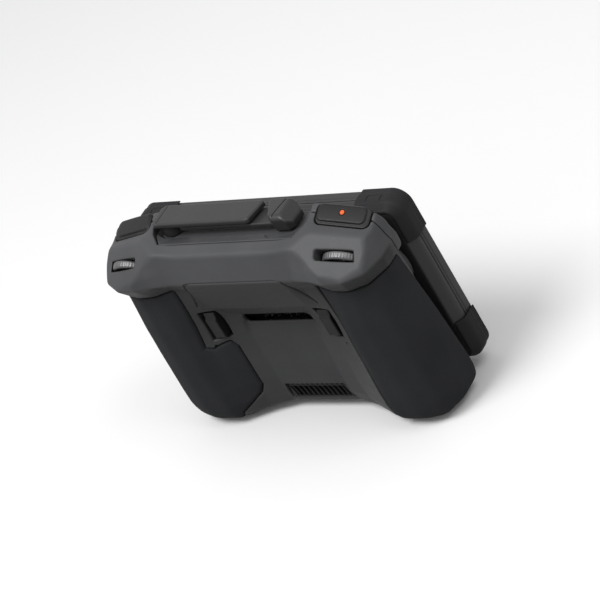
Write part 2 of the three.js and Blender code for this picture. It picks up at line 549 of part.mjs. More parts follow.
addPair('gimbal_ring', gimbal, pinSteel);
const ball = solidOf(new THREE.SphereGeometry(4, 12, 8)).translate([STICK_X, STICK_PIVOT_Y, STICK_Z]);
addPair('stick_shaft', ball.add(stickRod(2.2, 3, STICK_PIVOT_Y, 16)), pinSteel);
const capProfile = [[0, -1.2], [4, -1.2], [6.2, -1.9], [8.4, -1.9], [9.4, -1], [9.4, 1.2], [5, 2.6], [0, 2.6]]
  .map(([r, y]) => new THREE.Vector2(r, y)).reverse();
const cap = solidOf(new THREE.LatheGeometry(capProfile, 20)).translate([STICK_X, 0, STICK_Z]);
addPair('stick_cap', cap, gripRubber);

// ---- keys on the front face ----
for (const [name, centre, radius] of KEYS) {
  add(name, rod('y', radius, centre, FRONT_Y - 1, 2.4, 20), satinPlastic);
}

// ---- screws that hold the shells together ----
const SCREWS = [[-52, 14], [52, 14], [-42, 98], [42, 98]];
SCREWS.forEach(([x, z], i) => {
  const screw = rod('y', 1.6, [x, z], 9, 14, 12).add(rod('y', 2.8, [x, z], 13.8, 15.6, 12));
  add(`shell_screw_${i + 1}`, screw, pinSteel);
});

export default model;
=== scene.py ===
import json
import math

import bpy
import numpy as np
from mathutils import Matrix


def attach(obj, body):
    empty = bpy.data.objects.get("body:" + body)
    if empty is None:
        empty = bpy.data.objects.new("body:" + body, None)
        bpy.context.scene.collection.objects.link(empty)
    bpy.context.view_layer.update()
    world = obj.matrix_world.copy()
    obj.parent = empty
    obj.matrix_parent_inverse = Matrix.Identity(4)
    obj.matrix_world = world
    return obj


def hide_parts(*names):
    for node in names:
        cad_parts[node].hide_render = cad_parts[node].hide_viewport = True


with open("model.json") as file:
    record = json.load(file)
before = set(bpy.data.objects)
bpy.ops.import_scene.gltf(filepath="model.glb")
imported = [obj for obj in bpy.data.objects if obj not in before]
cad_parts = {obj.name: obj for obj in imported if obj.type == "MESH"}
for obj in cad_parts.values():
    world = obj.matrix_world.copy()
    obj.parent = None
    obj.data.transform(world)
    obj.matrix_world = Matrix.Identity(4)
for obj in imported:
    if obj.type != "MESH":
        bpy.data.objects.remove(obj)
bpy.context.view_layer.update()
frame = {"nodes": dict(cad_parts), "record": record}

import openvdb
from mathutils import Matrix, Vector

MM = 0.001
DRAWN_BEHIND = 10.0    # shapes are drawn about the case's parting line, this far behind the frame's origin


def both_sides(half):
    """A closed outline from its right half, given from the bottom up."""
    return half + [(-u, v) for u, v in reversed(half)]


# ---- driving dimensions, in millimetres ----
GAP = 0.3                               # between neighbouring pieces
HALF_SEAM = 0.2                         # from the parting line to each half of the case
WALL = 2.3
GRIP_SKIN = 2.0                         # thickness of the rubber
FRONT_Y = -2.0
SEAM_Y0, SEAM_SLOPE = 1.6, 0.065        # the parting line leans back as it rises
TRAY_Z, RIM_Z, TOP_Z = 124.6, 128.3, 134.0
TRAY_PLATE = 1.8
CAVITY_Z = (8.0, 121.0)
CHAMFER_X = 7.0                         # width of the slope beside the front face
STRIP = ((0, 72.7, 84, 104), (0.8, 1.2, 4, 5.5))    # heights, and how far the slope stays off the seam

# Half sections of the case at each height, from the middle of the back round to the side.
STATIONS = [
    (0, (24, 18), (44, 19), (52, 22), (60, 26), (70, 26), (76, 24), (78, 18)),
    (3, (24, 20), (40, 24), (48, 28), (58, 32.5), (71, 32.5), (82, 29.5), (86.5, 18)),
    (8, (23, 21.7), (38, 26.5), (48, 31.5), (57, 36.3), (72, 36.3), (84.5, 32), (91.3, 18)),
    (16, (22, 23.6), (35, 27), (47, 33), (57, 38), (72, 38), (86, 33.2), (93, 19)),
    (27, (22, 23.8), (34, 26.7), (48, 33.5), (57, 38), (72, 38), (86, 33), (93.2, 19)),
    (57, (23, 22.4), (36, 26), (49, 31), (58, 37), (71, 37.5), (85, 32.5), (92.7, 18)),
    (67, (23, 20.6), (36, 25.6), (49, 29.8), (58.5, 36.8), (71, 37.2), (84.7, 32), (92.4, 18)),
    (72.7, (24, 21.5), (36, 25.5), (49, 29.5), (59, 36.5), (71, 37), (84.5, 32), (92, 18)),
    (84, (33, 28.6), (39, 28), (49, 29.5), (60, 35.5), (71, 36), (84, 31), (91.4, 18)),
    (99.5, (33, 33.4), (40, 31), (49, 30), (62, 34), (72, 34.6), (83, 30), (90.5, 18)),
    (104, (33, 34.7), (41, 33.5), (50, 33), (63, 37.5), (74, 37.5), (85, 32), (91.5, 20)),
    (110, (33, 36.2), (42, 36.5), (54, 38.5), (64, 41.4), (76, 41.2), (87, 34.5), (92, 22)),
    (116, (33, 34.9), (44, 35.2), (56, 38.3), (64, 41.2), (76, 40), (86, 34), (90.5, 22)),
    (121, (35, 33.6), (44, 33.8), (54, 35.5), (62, 40), (76, 40), (86, 34), (90.5, 22)),
    (126.6, (38, 32.1), (44, 32.3), (52, 33.5), (60, 38), (76, 38), (86, 33), (90, 20)),
    (TOP_Z, (38, 32.1), (44, 32.3), (52, 33.5), (60, 38), (76, 38), (86, 33), (88, 20)),
]
# Planes that bound the top of each shoulder: a normal and its distance from the origin.
BUTTON_PLANE = ((0.271, 0.434, 1), 152.76)
SHELF_PLANE = ((0.25, -0.07, 1), 143.77)
RIM_PLANE = ((0, 0.338, 1), 136.65)
INNER_PLANE = ((-0.256, 0.13, 1), 120.02)
DIAL_PLANE = ((0.25, 0.6, 0.76), 128)
SIDE_PLANE = ((0.93, 0.12, 0.34), 125.4)
FRONT_PLANE = ((0.271, -2.03, 1), 139.37)

# The left grip reaches further in behind the case than the right one, whose outline is given mirrored.
GRIP_TOP = [(57, -1), (97, -1), (97, 102), (82, 99.3), (69, 98.4), (58, 98.6), (48.7, 100)]
GRIP_LEFT = [
    *GRIP_TOP, (50.8, 57.5), (47, 55.5), (42, 57), (36.5, 57.5), (33.8, 53), (33.2, 24), (36, 19), (52, 8.5),
]
GRIP_RIGHT = [*GRIP_TOP, (49.4, 85), (50.6, 61), (53, 44), (54, 25), (54.6, 9)]
UNDER = both_sides([(62, -9), (57, 0), (47, 3.5), (36, 5)])
TRAY = both_sides([(52.5, -40), (52.5, 14.5), (51, 18.5), (45.5, 24.8)])
PADDLE_BAY = [(33.2, 60.5), (45, 60.5), (45, 80.6), (33.2, 80.6)]
SLOT = both_sides([(22, 65.6), (23, 67), (23, 70.4), (21, 72.6)])
LEDGE_Z = (57, 67.2)                    # the back slopes in over these heights to the slot's lower edge
LEDGE_SLOPE = 0.14
VENT = both_sides([(21.4, 9.8), (20.6, 21.4)])
SCREW_HOLE = (45.0, 57.0)
PANEL_SEAM = [(-2, 109.4), (29.5, 109.4), (32.8, 108.4), (35, 103.5), (41.2, 86)]

BUTTON = {"centre": (71.5, 9.8, 129.0), "half": (15.3, 6.1), "roll": 15.2, "pitch": -22.6, "yaw": -4}
DIAL = {"centre": (71.8, 25.8, 112.3), "radius": 11.5, "width": 4.2, "tilt": 30}
PADDLE = [(20, 61.2), (27.4, 61.2), (28.4, 62.4), (28.4, 74.8), (27.3, 76.4), (26.9, 79.4), (20, 79.4)]
PADDLE_X, PADDLE_HALF = 39.0, 3.8
STICK_X, STICK_Z, STICK_Y = 62.0, 82.0, 9.0
WELL_R = 16.7
KEYS = {"power_button": (38, 108, 4), "home_button": (-38, 108, 4), "five_way_key": (38, 56, 5.5)}
HINGE_Y, HINGE_Z, TILT_Z = -2.5, 118.0, 63.5
PIN_R = 1.4
KNUCKLE_R, TILT_KNUCKLE_R = 3.3, 2.7
FOOT = (44.5, 8.8)                      # where the upper antenna turns
KNOB_PIVOT = (-31.0, 8.5)               # where the lower antenna turns
PIVOT_HOLE = {"radius": 2.3, "top": 130.4}
BAR = [
    (-18.5, 2), (-17.6, 0.6), (49.6, 0.6), (51.8, 3),
    (51.8, 14.4), (49.6, 16.6), (-13.6, 16.6), (-15.4, 15.4),
]
KNOB = [
    (-41.3, 3.4), (-38.5, 0.4), (-23.5, 0.4), (-21.8, 2),
    (-27.5, 14), (-30, 15.8), (-38.5, 15.8), (-41.3, 12.8),
]
SCREEN = {"half_x": 89.2, "half_z": 55.0, "corner": 8.0, "back": -6.0, "split": -14.0, "front": -21.1}
BACK_SLOPE = 0.889                      # how fast the screen's outline draws in towards its back
HOLLOW_X, HOLLOW_Z = 84, 50             # half size of the space inside the screen


# ---- distance fields: negative inside ----
def smooth_max(a, b, r):
    """The intersection of two fields with its edge rounded over about r."""
    h = np.maximum(r - np.abs(a - b), 0) / r
    return np.maximum(a, b) + h * h * r / 4


def smooth_min(a, b, r):
    """The union of two fields with its corner filled over about r."""
    return -smooth_max(-a, -b, r)


def cut(a, b, r):
    """Field a without field b."""
    return smooth_max(a, -b, r)


def slab(v, low, high):
    return np.maximum(low - v, v - high)


def polygon(u, v, outline):
    """Signed distance to a closed flat outline."""
    u, v = np.broadcast_arrays(u, v)
    near = np.full(u.shape, 1e9, np.float32)
    inside = np.zeros(u.shape, bool)
    for (au, av), (bu, bv) in zip(outline, outline[1:] + outline[:1]):
        eu, ev = bu - au, bv - av
        t = np.clip(((u - au) * eu + (v - av) * ev) / (eu * eu + ev * ev), 0, 1)
        near = np.minimum(near, (u - au - t * eu) ** 2 + (v - av - t * ev) ** 2)
        if av != bv:
            inside ^= ((av > v) != (bv > v)) & (u < eu * (v - av) / ev + au)
    return np.where(inside, -1, 1) * np.sqrt(near)


def polyline(u, v, points):
    """Distance to an open flat line."""
    near = 1e9
    for (au, av), (bu, bv) in zip(points, points[1:]):
        eu, ev = bu - au, bv - av
        t = np.clip(((u - au) * eu + (v - av) * ev) / (eu * eu + ev * ev), 0, 1)
        near = np.minimum(near, (u - au - t * eu) ** 2 + (v - av - t * ev) ** 2)
    return np.sqrt(near)


def rounded_rect(u, v, half_u, half_v, r):
    qu, qv = np.abs(u) - half_u + r, np.abs(v) - half_v + r
    return np.hypot(np.maximum(qu, 0), np.maximum(qv, 0)) + np.minimum(np.maximum(qu, qv), 0) - r


def half_space(space, flat):
    """Distance above a plane given by a normal and its distance from the origin."""
    (nx, ny, nz), d = flat
    return (nx * space.x + ny * space.y + nz * space.z - d) / math.hypot(nx, ny, nz)


def block(space, x, y, z, r=0.6):
    """A block between pairs of coordinates, with its edges rounded."""
    q = [np.abs(v - (low + high) / 2) - (high - low) / 2 + r
         for v, (low, high) in zip((space.x, space.y, space.z), (x, y, z))]
    outside = np.sqrt(sum(np.maximum(v, 0) ** 2 for v in q))
    return outside + np.minimum(np.maximum(np.maximum(q[0], q[1]), q[2]), 0) - r


def rod_x(space, y, z, radius, x0, x1, r=0.4):
    return smooth_max(np.hypot(space.y - y, space.z - z) - radius, slab(space.x, x0, x1), r)


def rod_z(space, x, y, radius, z0, z1, r=0.4):
    return smooth_max(np.hypot(space.x - x, space.y - y) - radius, slab(space.z, z0, z1), r)


def soften(field, sigma, mirrored=False):
    """A field blurred over sigma steps, which rounds every edge."""
    reach = int(math.ceil(2.5 * sigma))
    weights = np.exp(-0.5 * (np.arange(-reach, reach + 1) / sigma) ** 2)
    weights /= weights.sum()
    for axis in range(3):
        pad = [(0, 0)] * 3
        pad[axis] = (reach, reach)
        padded = np.pad(field, pad, mode="edge")
        if mirrored and axis == 0:
            padded[:reach] = field[:reach][::-1]
        size = field.shape[axis]
        field = sum(w * np.take(padded, range(i, i + size), axis) for i, w in enumerate(weights))
        field = field.astype(np.float32)
    return field


class Space:
    """Evenly spaced points in a block, in drawing millimetres."""

    def __init__(self, low, high, step):
        self.step = step
        self.low = np.array([(math.floor(v / step) + 0.5) * step for v in low])
        counts = [int(math.ceil((h - l) / step)) + 1 for l, h in zip(self.low, high)]
        x, y, z = (l + step * np.arange(n) for l, n in zip(self.low, counts))
        self.x = x[:, None, None].astype(np.float32)
        self.y = y[None, :, None].astype(np.float32)
        self.z = z[None, None, :].astype(np.float32)


def sample(field, at):
    """Values of a field between its points."""
    base = np.clip(np.floor(at).astype(int), 0, np.array(field.shape) - 2)
    f = at - base
    total = 0
    for corner in np.ndindex(2, 2, 2):
        w = np.prod([f[:, k] if corner[k] else 1 - f[:, k] for k in range(3)], axis=0)
        total = total + w * field[tuple((base + corner).T)]
    return total


def skin(field, low, step):
    """The surface where a field is zero: points in drawing millimetres, faces, and a normal at each point."""
    band = 3 * step
    field = np.clip(field, -band, band).astype(np.float32)
    grid = openvdb.FloatGrid(band)
    grid.copyFromArray(field)
    points, triangles, quads = grid.convertToPolygons(isovalue=0.0, adaptivity=0.0)
    points = points.astype(float)
    slope = np.zeros_like(points)
    for turn in range(2):
        for axis in range(3):
            nudge = np.zeros(3)
            nudge[axis] = 0.5
            slope[:, axis] = sample(field, points + nudge) - sample(field, points - nudge)
        length = np.linalg.norm(slope, axis=1, keepdims=True) + 1e-6
        if turn == 0:
            move = sample(field, points)[:, None] * slope / length**2
            points -= np.clip(move, -0.6, 0.6)
    return points * step + low, [triangles, quads], slope / length


def build(name, surface, look, body, replaced, mirrored=False):
    """A Blender object from a skin, riding on a body."""
    points, faces, normals = surface
    points, normals = points.copy(), normals.copy()
    if mirrored:
        points[:, 0] *= -1
        normals[:, 0] *= -1
    points[:, 1] -= DRAWN_BEHIND
    main = faces[1] if len(faces[1]) else faces[0]
    a, b, c = (points[main[:, k]] for k in range(3))
    volume = np.einsum("ij,ij->", np.cross(b - a, c - a), normals[main[:, 0]])
    loops = [f if volume > 0 else f[:, ::-1] for f in faces if len(f)]
    sizes = np.concatenate([np.full(len(f), f.shape[1]) for f in loops])
    mesh = bpy.data.meshes.new(name)
    mesh.vertices.add(len(points))
    mesh.vertices.foreach_set("co", (points * MM).astype(np.float32).ravel())
    mesh.loops.add(int(sizes.sum()))
    mesh.loops.foreach_set("vertex_index", np.concatenate([f.ravel() for f in loops]).astype(np.int32))
    mesh.polygons.add(len(sizes))
    mesh.polygons.foreach_set("loop_start", np.concatenate([[0], np.cumsum(sizes)[:-1]]).astype(np.int32))
    mesh.polygons.foreach_set("loop_total", sizes.astype(np.int32))
    mesh.polygons.foreach_set("use_smooth", np.ones(len(sizes), bool))
    mesh.update(calc_edges=True)
    mesh.normals_split_custom_set_from_vertices(normals)
    piece = bpy.data.objects.new(name, mesh)
    bpy.context.scene.collection.objects.link(piece)
    piece.data.materials.append(look)
    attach(piece, body)
    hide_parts(*replaced)
    return piece


# ---- materials ----
def spread(tree, value, low, high, start, end):
    """A value carried from one range to another, held at both ends."""
    node = tree.nodes.new("ShaderNodeMapRange")
    for name, limit in (("From Min", low), ("From Max", high), ("To Min", start), ("To Max", end)):
        node.inputs[name].default_value = limit
    tree.links.new(value, node.inputs["Value"])
    return node.outputs["Result"]


def combine(tree, operation, a, b=None):
    node = tree.nodes.new("ShaderNodeMath")
    node.operation = operation
    tree.links.new(a, node.inputs[0])
    if b is not None:
        tree.links.new(b, node.inputs[1])
    return node.outputs["Value"]


def painted_shade_under_band(tree, where):
    """Painted shade: how far the colour of the case's inset back and of the strips under the dials is
    darkened below the band above them, deepest just under the band and easing towards the bottom.
    """
    split = tree.nodes.new("ShaderNodeSeparateXYZ")
    tree.links.new(where, split.inputs["Vector"])
    aside = combine(tree, "ABSOLUTE", split.outputs["X"])
    edge = spread(tree, aside, 0.046, 0.060, 0.1092, 0.1108)
    below = spread(tree, combine(tree, "SUBTRACT", edge, split.outputs["Z"]), 0, 0.002, 0, 1)
    behind = spread(tree, split.outputs["Y"], -0.002, 0.004, 0, 1)
    depth = spread(tree, split.outputs["Z"], 0.04, 0.10, 0.44, 0.78)
    return combine(tree, "MULTIPLY", combine(tree, "MULTIPLY", below, behind), depth)


def look_of(name, color, rough, grain, bump, metallic=0.0, wear=0.25, coat=0.0, gloss=0.5, with_painted_shade=False):
    """Moulded or cast surface: a fine grain in colour, roughness and bump, edges worn lighter, and, when
    asked, painted shade on the case's back below its band and under the dials.
    """
    made = bpy.data.materials.new(name)
    made.use_nodes = True
    tree = made.node_tree
    shader = tree.nodes["Principled BSDF"]
    shader.inputs["Metallic"].default_value = metallic
    shader.inputs["Specular IOR Level"].default_value = gloss
    shader.inputs["Coat Weight"].default_value = coat
    shader.inputs["Coat Roughness"].default_value = 0.25
    where = tree.nodes.new("ShaderNodeTexCoord").outputs["Object"]
    fine = tree.nodes.new("ShaderNodeTexNoise")
    fine.inputs["Scale"].default_value = 1 / (grain * MM)
    fine.inputs["Detail"].default_value = 3
    broad = tree.nodes.new("ShaderNodeTexNoise")
    broad.inputs["Scale"].default_value = 1 / (25 * MM)
    broad.inputs["Detail"].default_value = 5
    for noise in (fine, broad):
        tree.links.new(where, noise.inputs["Vector"])
    shade = tree.nodes.new("ShaderNodeValToRGB")
    shade.color_ramp.elements[0].position = 0.25
    shade.color_ramp.elements[0].color = (*[c * 0.88 for c in color], 1)
    shade.color_ramp.elements[1].position = 0.75
    shade.color_ramp.elements[1].color = (*[c * 1.12 for c in color], 1)
    tree.links.new(broad.outputs["Fac"], shade.inputs["Fac"])
    edges = tree.nodes.new("ShaderNodeNewGeometry").outputs["Pointiness"]
    worn = spread(tree, edges, 0.52, 0.60, 0, wear)
    mix = tree.nodes.new("ShaderNodeMixRGB")
    mix.inputs["Color2"].default_value = (*[min(1, c * 2.2 + 0.03) for c in color], 1)
    tree.links.new(worn, mix.inputs["Fac"])
    tree.links.new(shade.outputs["Color"], mix.inputs["Color1"])
    shown = mix.outputs["Color"]
    # Painted shade: the colour is mixed towards black where the band overhangs the inset back and under the
    # dials.
    if with_painted_shade:
        painted_shade_mix = tree.nodes.new("ShaderNodeMixRGB")
        painted_shade_mix.inputs["Color2"].default_value = (0, 0, 0, 1)
        tree.links.new(painted_shade_under_band(tree, where), painted_shade_mix.inputs["Fac"])
        tree.links.new(shown, painted_shade_mix.inputs["Color1"])
        shown = painted_shade_mix.outputs["Color"]
    tree.links.new(shown, shader.inputs["Base Color"])
    matte = spread(tree, fine.outputs["Fac"], 0.3, 0.7, rough - 0.07, rough + 0.07)
    tree.links.new(matte, shader.inputs["Roughness"])
    relief = tree.nodes.new("ShaderNodeBump")
    relief.inputs["Strength"].default_value = bump
    relief.inputs["Distance"].default_value = 0.1 * MM
    tree.links.new(fine.outputs["Fac"], relief.inputs["Height"])
    tree.links.new(relief.outputs["Normal"], shader.inputs["Normal"])
    return made


LOOKS = {
    # The shell's colour carries painted shade below the back's band and under the dials.
    "shell_plastic": look_of(
        "shell_plastic", (0.0265, 0.027, 0.0285), 0.55, 0.35, 0.35, gloss=0.2, with_painted_shade=True),
    "dark_plastic": look_of("dark_plastic", (0.0065, 0.0065, 0.0068), 0.45, 0.35, 0.25, gloss=0.12),
    "satin_plastic": look_of("satin_plastic", (0.0135, 0.0135, 0.0138), 0.4, 0.35, 0.2, gloss=0.22),
    "grip_rubber": look_of("grip_rubber", (0.0112, 0.0116, 0.0126), 0.75, 0.6, 0.9, wear=0.03, gloss=0.06),
    "bumper_rubber": look_of("bumper_rubber", (0.0085, 0.0085, 0.0093), 0.6, 0.5, 0.5, wear=0.1, gloss=0.1),
    "record_orange": look_of("record_orange", (0.36, 0.055, 0.006), 0.45, 0.3, 0.1, gloss=0.3),
    "dial_metal": look_of("dial_metal", (0.06, 0.06, 0.062), 0.4, 0.2, 0.2, metallic=0.5),
    "pin_steel": look_of("pin_steel", (0.42, 0.43, 0.44), 0.3, 0.2, 0.2, metallic=1.0),
    "hinge_alloy": look_of("hinge_alloy", (0.20, 0.205, 0.215), 0.42, 0.25, 0.4, metallic=0.9),
    "sink_alloy": look_of("sink_alloy", (0.33, 0.34, 0.35), 0.4, 0.3, 0.3, metallic=1.0),
    "circuit_board": look_of("circuit_board", (0.014, 0.045, 0.026), 0.4, 0.6, 0.3),
    "cell_wrap": look_of("cell_wrap", (0.024, 0.033, 0.052), 0.45, 0.6, 0.2),
    "display_glass": look_of("display_glass", (0.005, 0.0055, 0.006), 0.12, 0.4, 0.02, coat=0.6, wear=0.0),
}
slot_of_node = {s["node"]: s["material_slot"] for s in frame["record"]["subparts"]}
for node, shown in frame["nodes"].items():
    shown.data.materials.clear()
    shown.data.materials.append(LOOKS[slot_of_node[node]])
body_of_node = {n: b for b, nodes in frame["record"]["behaviour"]["bodies"].items() for n in nodes}


def make(node, surface, mirrored=False):
    """A piece that stands for one CAD node, in that node's slot and body."""
    slot = slot_of_node[node]
    return build(f"{node}_skin", surface, LOOKS[slot], body_of_node[node], [node], mirrored)


def lay(node, field, space):
    """One piece from a field over its space."""
    size = (space.x.size, space.y.size, space.z.size)
    make(node, skin(np.broadcast_to(field, size), space.low, space.step))


def lay_pair(stem, field, space):
    """The left-hand piece from a field, and the right-hand one as its mirror image."""
    size = (space.x.size, space.y.size, space.z.size)
    surface = skin(np.broadcast_to(field, size), space.low, space.step)
    make(f"{stem}_left", surface)
    make(f"{stem}_right", surface, mirrored=True)


def lay_whole(node, field, space):
    """One piece across the middle, from the field of its left half."""
    low = np.array([-float(space.x.max()), space.low[1], space.low[2]])
    make(node, skin(np.concatenate([field[::-1], field], axis=0), low, space.step))


COARSE = 1.0

# ---- the case: rear shell, front shell and grips ----
STEP = 0.5 * COARSE


def section(z):
    """The case's half outline at one height, from the middle of the front to the middle of the back."""
    heights = [s[0] for s in STATIONS]
    k = int(np.clip(np.searchsorted(heights, z) - 1, 0, len(heights) - 2))
    t = float(np.clip((z - heights[k]) / (heights[k + 1] - heights[k]), 0, 1))
    half = [((1 - t) * a[0] + t * b[0], (1 - t) * a[1] + t * b[1])
            for a, b in zip(STATIONS[k][1:], STATIONS[k + 1][1:])]
    front = FRONT_Y + 3 * max(0, 1 - z / 3) ** 2
    side = half[-1][0]
    edge_y = max(front + 0.3, SEAM_Y0 + SEAM_SLOPE * z - float(np.interp(z, *STRIP)))
    return [(-99, front), (side - CHAMFER_X, front), (side, edge_y), *half[::-1], (-99, half[0][1])]


space = Space((0, -8, -3), (95, 45, 139), STEP)
x, y, z = space.x, space.y, space.z
case = np.stack([polygon(x[:, :, 0], y[:, :, 0], section(v)) for v in z.ravel()], axis=2).astype(np.float32)
steep = np.sqrt(sum(g * g for g in np.gradient(case, STEP)))
case = case / np.clip(steep, 1, 4)
soft_case = soften(case, 2.4 / STEP, mirrored=True)
case = soften(case, 0.6 / STEP, mirrored=True)
zones = [polygon(x, z, edge) for edge in (GRIP_LEFT, GRIP_RIGHT)]
blend = np.clip(0.5 - zones[1] / 8, 0, 1)
shape = soft_case * blend + case * (1 - blend)
for single in (DIAL_PLANE, SIDE_PLANE, FRONT_PLANE):
    shape = smooth_max(shape, half_space(space, single), 1.8)
lobe = smooth_min(half_space(space, BUTTON_PLANE), half_space(space, SHELF_PLANE), 2.0)
saddle = smooth_min(half_space(space, RIM_PLANE), half_space(space, INNER_PLANE), 3.0)
shape = smooth_max(smooth_max(shape, lobe, 1.8), saddle, 2.0)
shape = smooth_max(shape, -z, 1.5)
shape = cut(shape, polygon(x, z, UNDER), 3)
across = (y - SEAM_Y0 - SEAM_SLOPE * z) / math.hypot(1, SEAM_SLOPE)

for node, zone in zip(("grip_left", "grip_right"), zones):
    grip = smooth_max(shape, zone + GAP, 2.0)
    grip = smooth_max(grip, 0.4 - across, 1.0)
    grip = np.maximum(grip, -(shape + GRIP_SKIN))
    make(node, skin(grip, space.low, STEP), mirrored=node == "grip_right")

body = cut(shape, np.maximum(polygon(x, y, TRAY), TRAY_Z - TRAY_PLATE - GAP - z), 1.0)


def button_axes(space):
    """Coordinates along a shoulder button: its length, its width and its thickness."""
    turn = Matrix.Identity(3)
    for angle, axis in ((BUTTON["roll"], "Y"), (BUTTON["pitch"], "X"), (BUTTON["yaw"], "Z")):
        turn = turn @ Matrix.Rotation(math.radians(angle), 3, axis)
    dx, dy, dz = (v - c for v, c in zip((space.x, space.y, space.z), BUTTON["centre"]))
    return [dx * turn[0][k] + dy * turn[1][k] + dz * turn[2][k] for k in range(3)]


def dial_axes(space):
    """Distance along a dial's axle, out from it towards the top of its rim, and sideways."""
    tilt = math.radians(DIAL["tilt"])
    dy, dz = space.y - DIAL["centre"][1], space.z - DIAL["centre"][2]
    along = dy * math.cos(tilt) - dz * math.sin(tilt)
    return along, dy * math.sin(tilt) + dz * math.cos(tilt), space.x - DIAL["centre"][0]


u, v, w = button_axes(space)
pocket = smooth_max(rounded_rect(u, v, BUTTON["half"][0] + 0.5, BUTTON["half"][1] + 0.5, 4), -5.4 - w, 0.5)
body = cut(body, pocket, 0.8)
along, out, aside = dial_axes(space)
well = np.maximum(np.hypot(aside, out) - DIAL["radius"] - 0.8, np.abs(along) - DIAL["width"] / 2 - 0.7)
mouth = np.maximum(rounded_rect(aside + 0.5, along, 10.4, 2.8, 1.5), -out)
well = np.maximum(smooth_min(well, mouth, 0.5), 98 - z)
body = cut(body, well, 0.8)
paddle_bay = np.maximum(polygon(x, z, PADDLE_BAY), 18 - y)
body = cut(body, paddle_bay, 1.0)
seam = np.maximum(polyline(x, z, PANEL_SEAM) - 0.5, -(shape + 0.8))
body = cut(body, np.maximum(seam, 20 - y), 0.5)
body = cut(body, np.hypot(x - SCREW_HOLE[0], z - SCREW_HOLE[1]) - 0.7 + 0 * y, 0.4)
ledge = LEDGE_SLOPE * np.clip(z - LEDGE_Z[0], 0, LEDGE_Z[1] - LEDGE_Z[0])
ledge = ledge * np.clip((25 - x) / 2, 0, 1) * (z < 67)
body = np.where(y > 14, body + ledge, body)
pockets = np.minimum(np.minimum(paddle_bay, pocket), well)


def with_recess(zone):
    """The case's plastic on one side, cut back under the grip, and the space inside it."""
    solid = cut(body, np.maximum(zone - GAP, -(shape + GRIP_SKIN + GAP)), 1.2)
    inner = np.maximum(shape + np.where(zone < 2.5, WALL + GRIP_SKIN + GAP, WALL), slab(z, *CAVITY_Z))
    return solid, np.maximum(inner, 1.6 - pockets)


def both(left, right):
    """A field across the middle, from its left half and the mirror image of its right half."""
    return np.concatenate([right[::-1], left], axis=0)


sides = [with_recess(zone) for zone in zones]
low_all = np.array([-float(x.max()), space.low[1], space.low[2]])

halves = []
for solid, hollow in sides:
    rear = smooth_max(solid, HALF_SEAM - across, 0.8)
    rear = cut(rear, np.maximum(polygon(x, z, SLOT), slab(y, 12, 40)), 1.2)
    rear = cut(rear, np.maximum(polygon(x, z, VENT), slab(y, 16, 40)), 0.6)
    halves.append(np.maximum(rear, -hollow))
make("rear_shell", skin(both(*halves), low_all, STEP))

reach = np.hypot(x - STICK_X, z - STICK_Z)
boss = smooth_max(smooth_max(reach - WELL_R - 3, slab(y, -5.2, -0.5), 1.0), FRONT_Y - 3.2 - y, 0.5)
wall = np.minimum(block(space, (-24, 24), (-1, 3), (48, 120)), block(space, (-24, 24), (-1, 5), (105, 121.8)))
bay_top = TRAY_Z - TRAY_PLATE - GAP + 0.1
arm_bay = block(space, (-21.5, 21.5), (-8, 1.2), (50, bay_top), 1.2)
hinge_bay = block(space, (-19.5, 19.5), (-8, 3.1), (106.5, bay_top), 0.4)
halves = []
for solid, hollow in sides:
    front = np.maximum(smooth_max(solid, across + HALF_SEAM, 0.8), -hollow)
    front = cut(smooth_min(front, boss, 1.2), reach - WELL_R + 0 * y, 1.2)
    halves.append(cut(cut(np.minimum(front, wall), arm_bay, 0.8), hinge_bay, 0.4))
front = both(*halves)
x_all = np.concatenate([-x[::-1], x], axis=0)
for key_x, key_z, radius in KEYS.values():
    front = cut(front, np.hypot(x_all - key_x, z - key_z) - radius - GAP + 0 * y, 0.5)
make("front_shell", skin(front, low_all, STEP))

# ---- antenna tray: an apron that falls from the rim towards the bars, with a bowl round each pivot ----
space = Space((-54, -2.5, 121.5), (54, 26.5, 130), 0.4 * COARSE)
x, y, z = space.x, space.y, space.z
depth = -polygon(x, y, TRAY)
height = RIM_Z - 0.15 - 3.6 * np.clip((depth - 0.6) / 8.5, 0, 1)
for (px, py), radius in ((FOOT, 7.4), (KNOB_PIVOT, 12.2)):
    height = np.minimum(height, TRAY_Z + 0.05 + 1.5 * np.maximum(np.hypot(x - px, y - py) - radius, 0))
height = np.maximum(height, RIM_Z - 0.15 - 2.6 * np.maximum(depth - 0.5, 0))
tray = smooth_max((z - height) / 1.15, 0.35 - depth, 0.6)
tray = np.maximum(np.maximum(tray, TRAY_Z - TRAY_PLATE - z), -1 - y)
lay("antenna_tray", tray, space)

# ---- antennas ----
space = Space((-20, -0.6, 123.8), (52.5, 18, 136.8), 0.33 * COARSE)
x, y, z = space.x, space.y, space.z
bar = smooth_max(polygon(x, y, BAR), slab(z, 132.1, 135.6), 1.3)
bar = cut(bar, np.maximum(np.abs(x - 47.8) - 0.3, 135.2 - z) + 0 * y, 0.3)
foot = rod_z(space, *FOOT, 6.6, TRAY_Z + GAP, 133, 0.8)
hole = rod_z(space, *FOOT, PIVOT_HOLE["radius"], 120, PIVOT_HOLE["top"])
left = cut(smooth_min(bar, foot, 1.0), hole, 0.3)
lay("antenna_left", left, space)

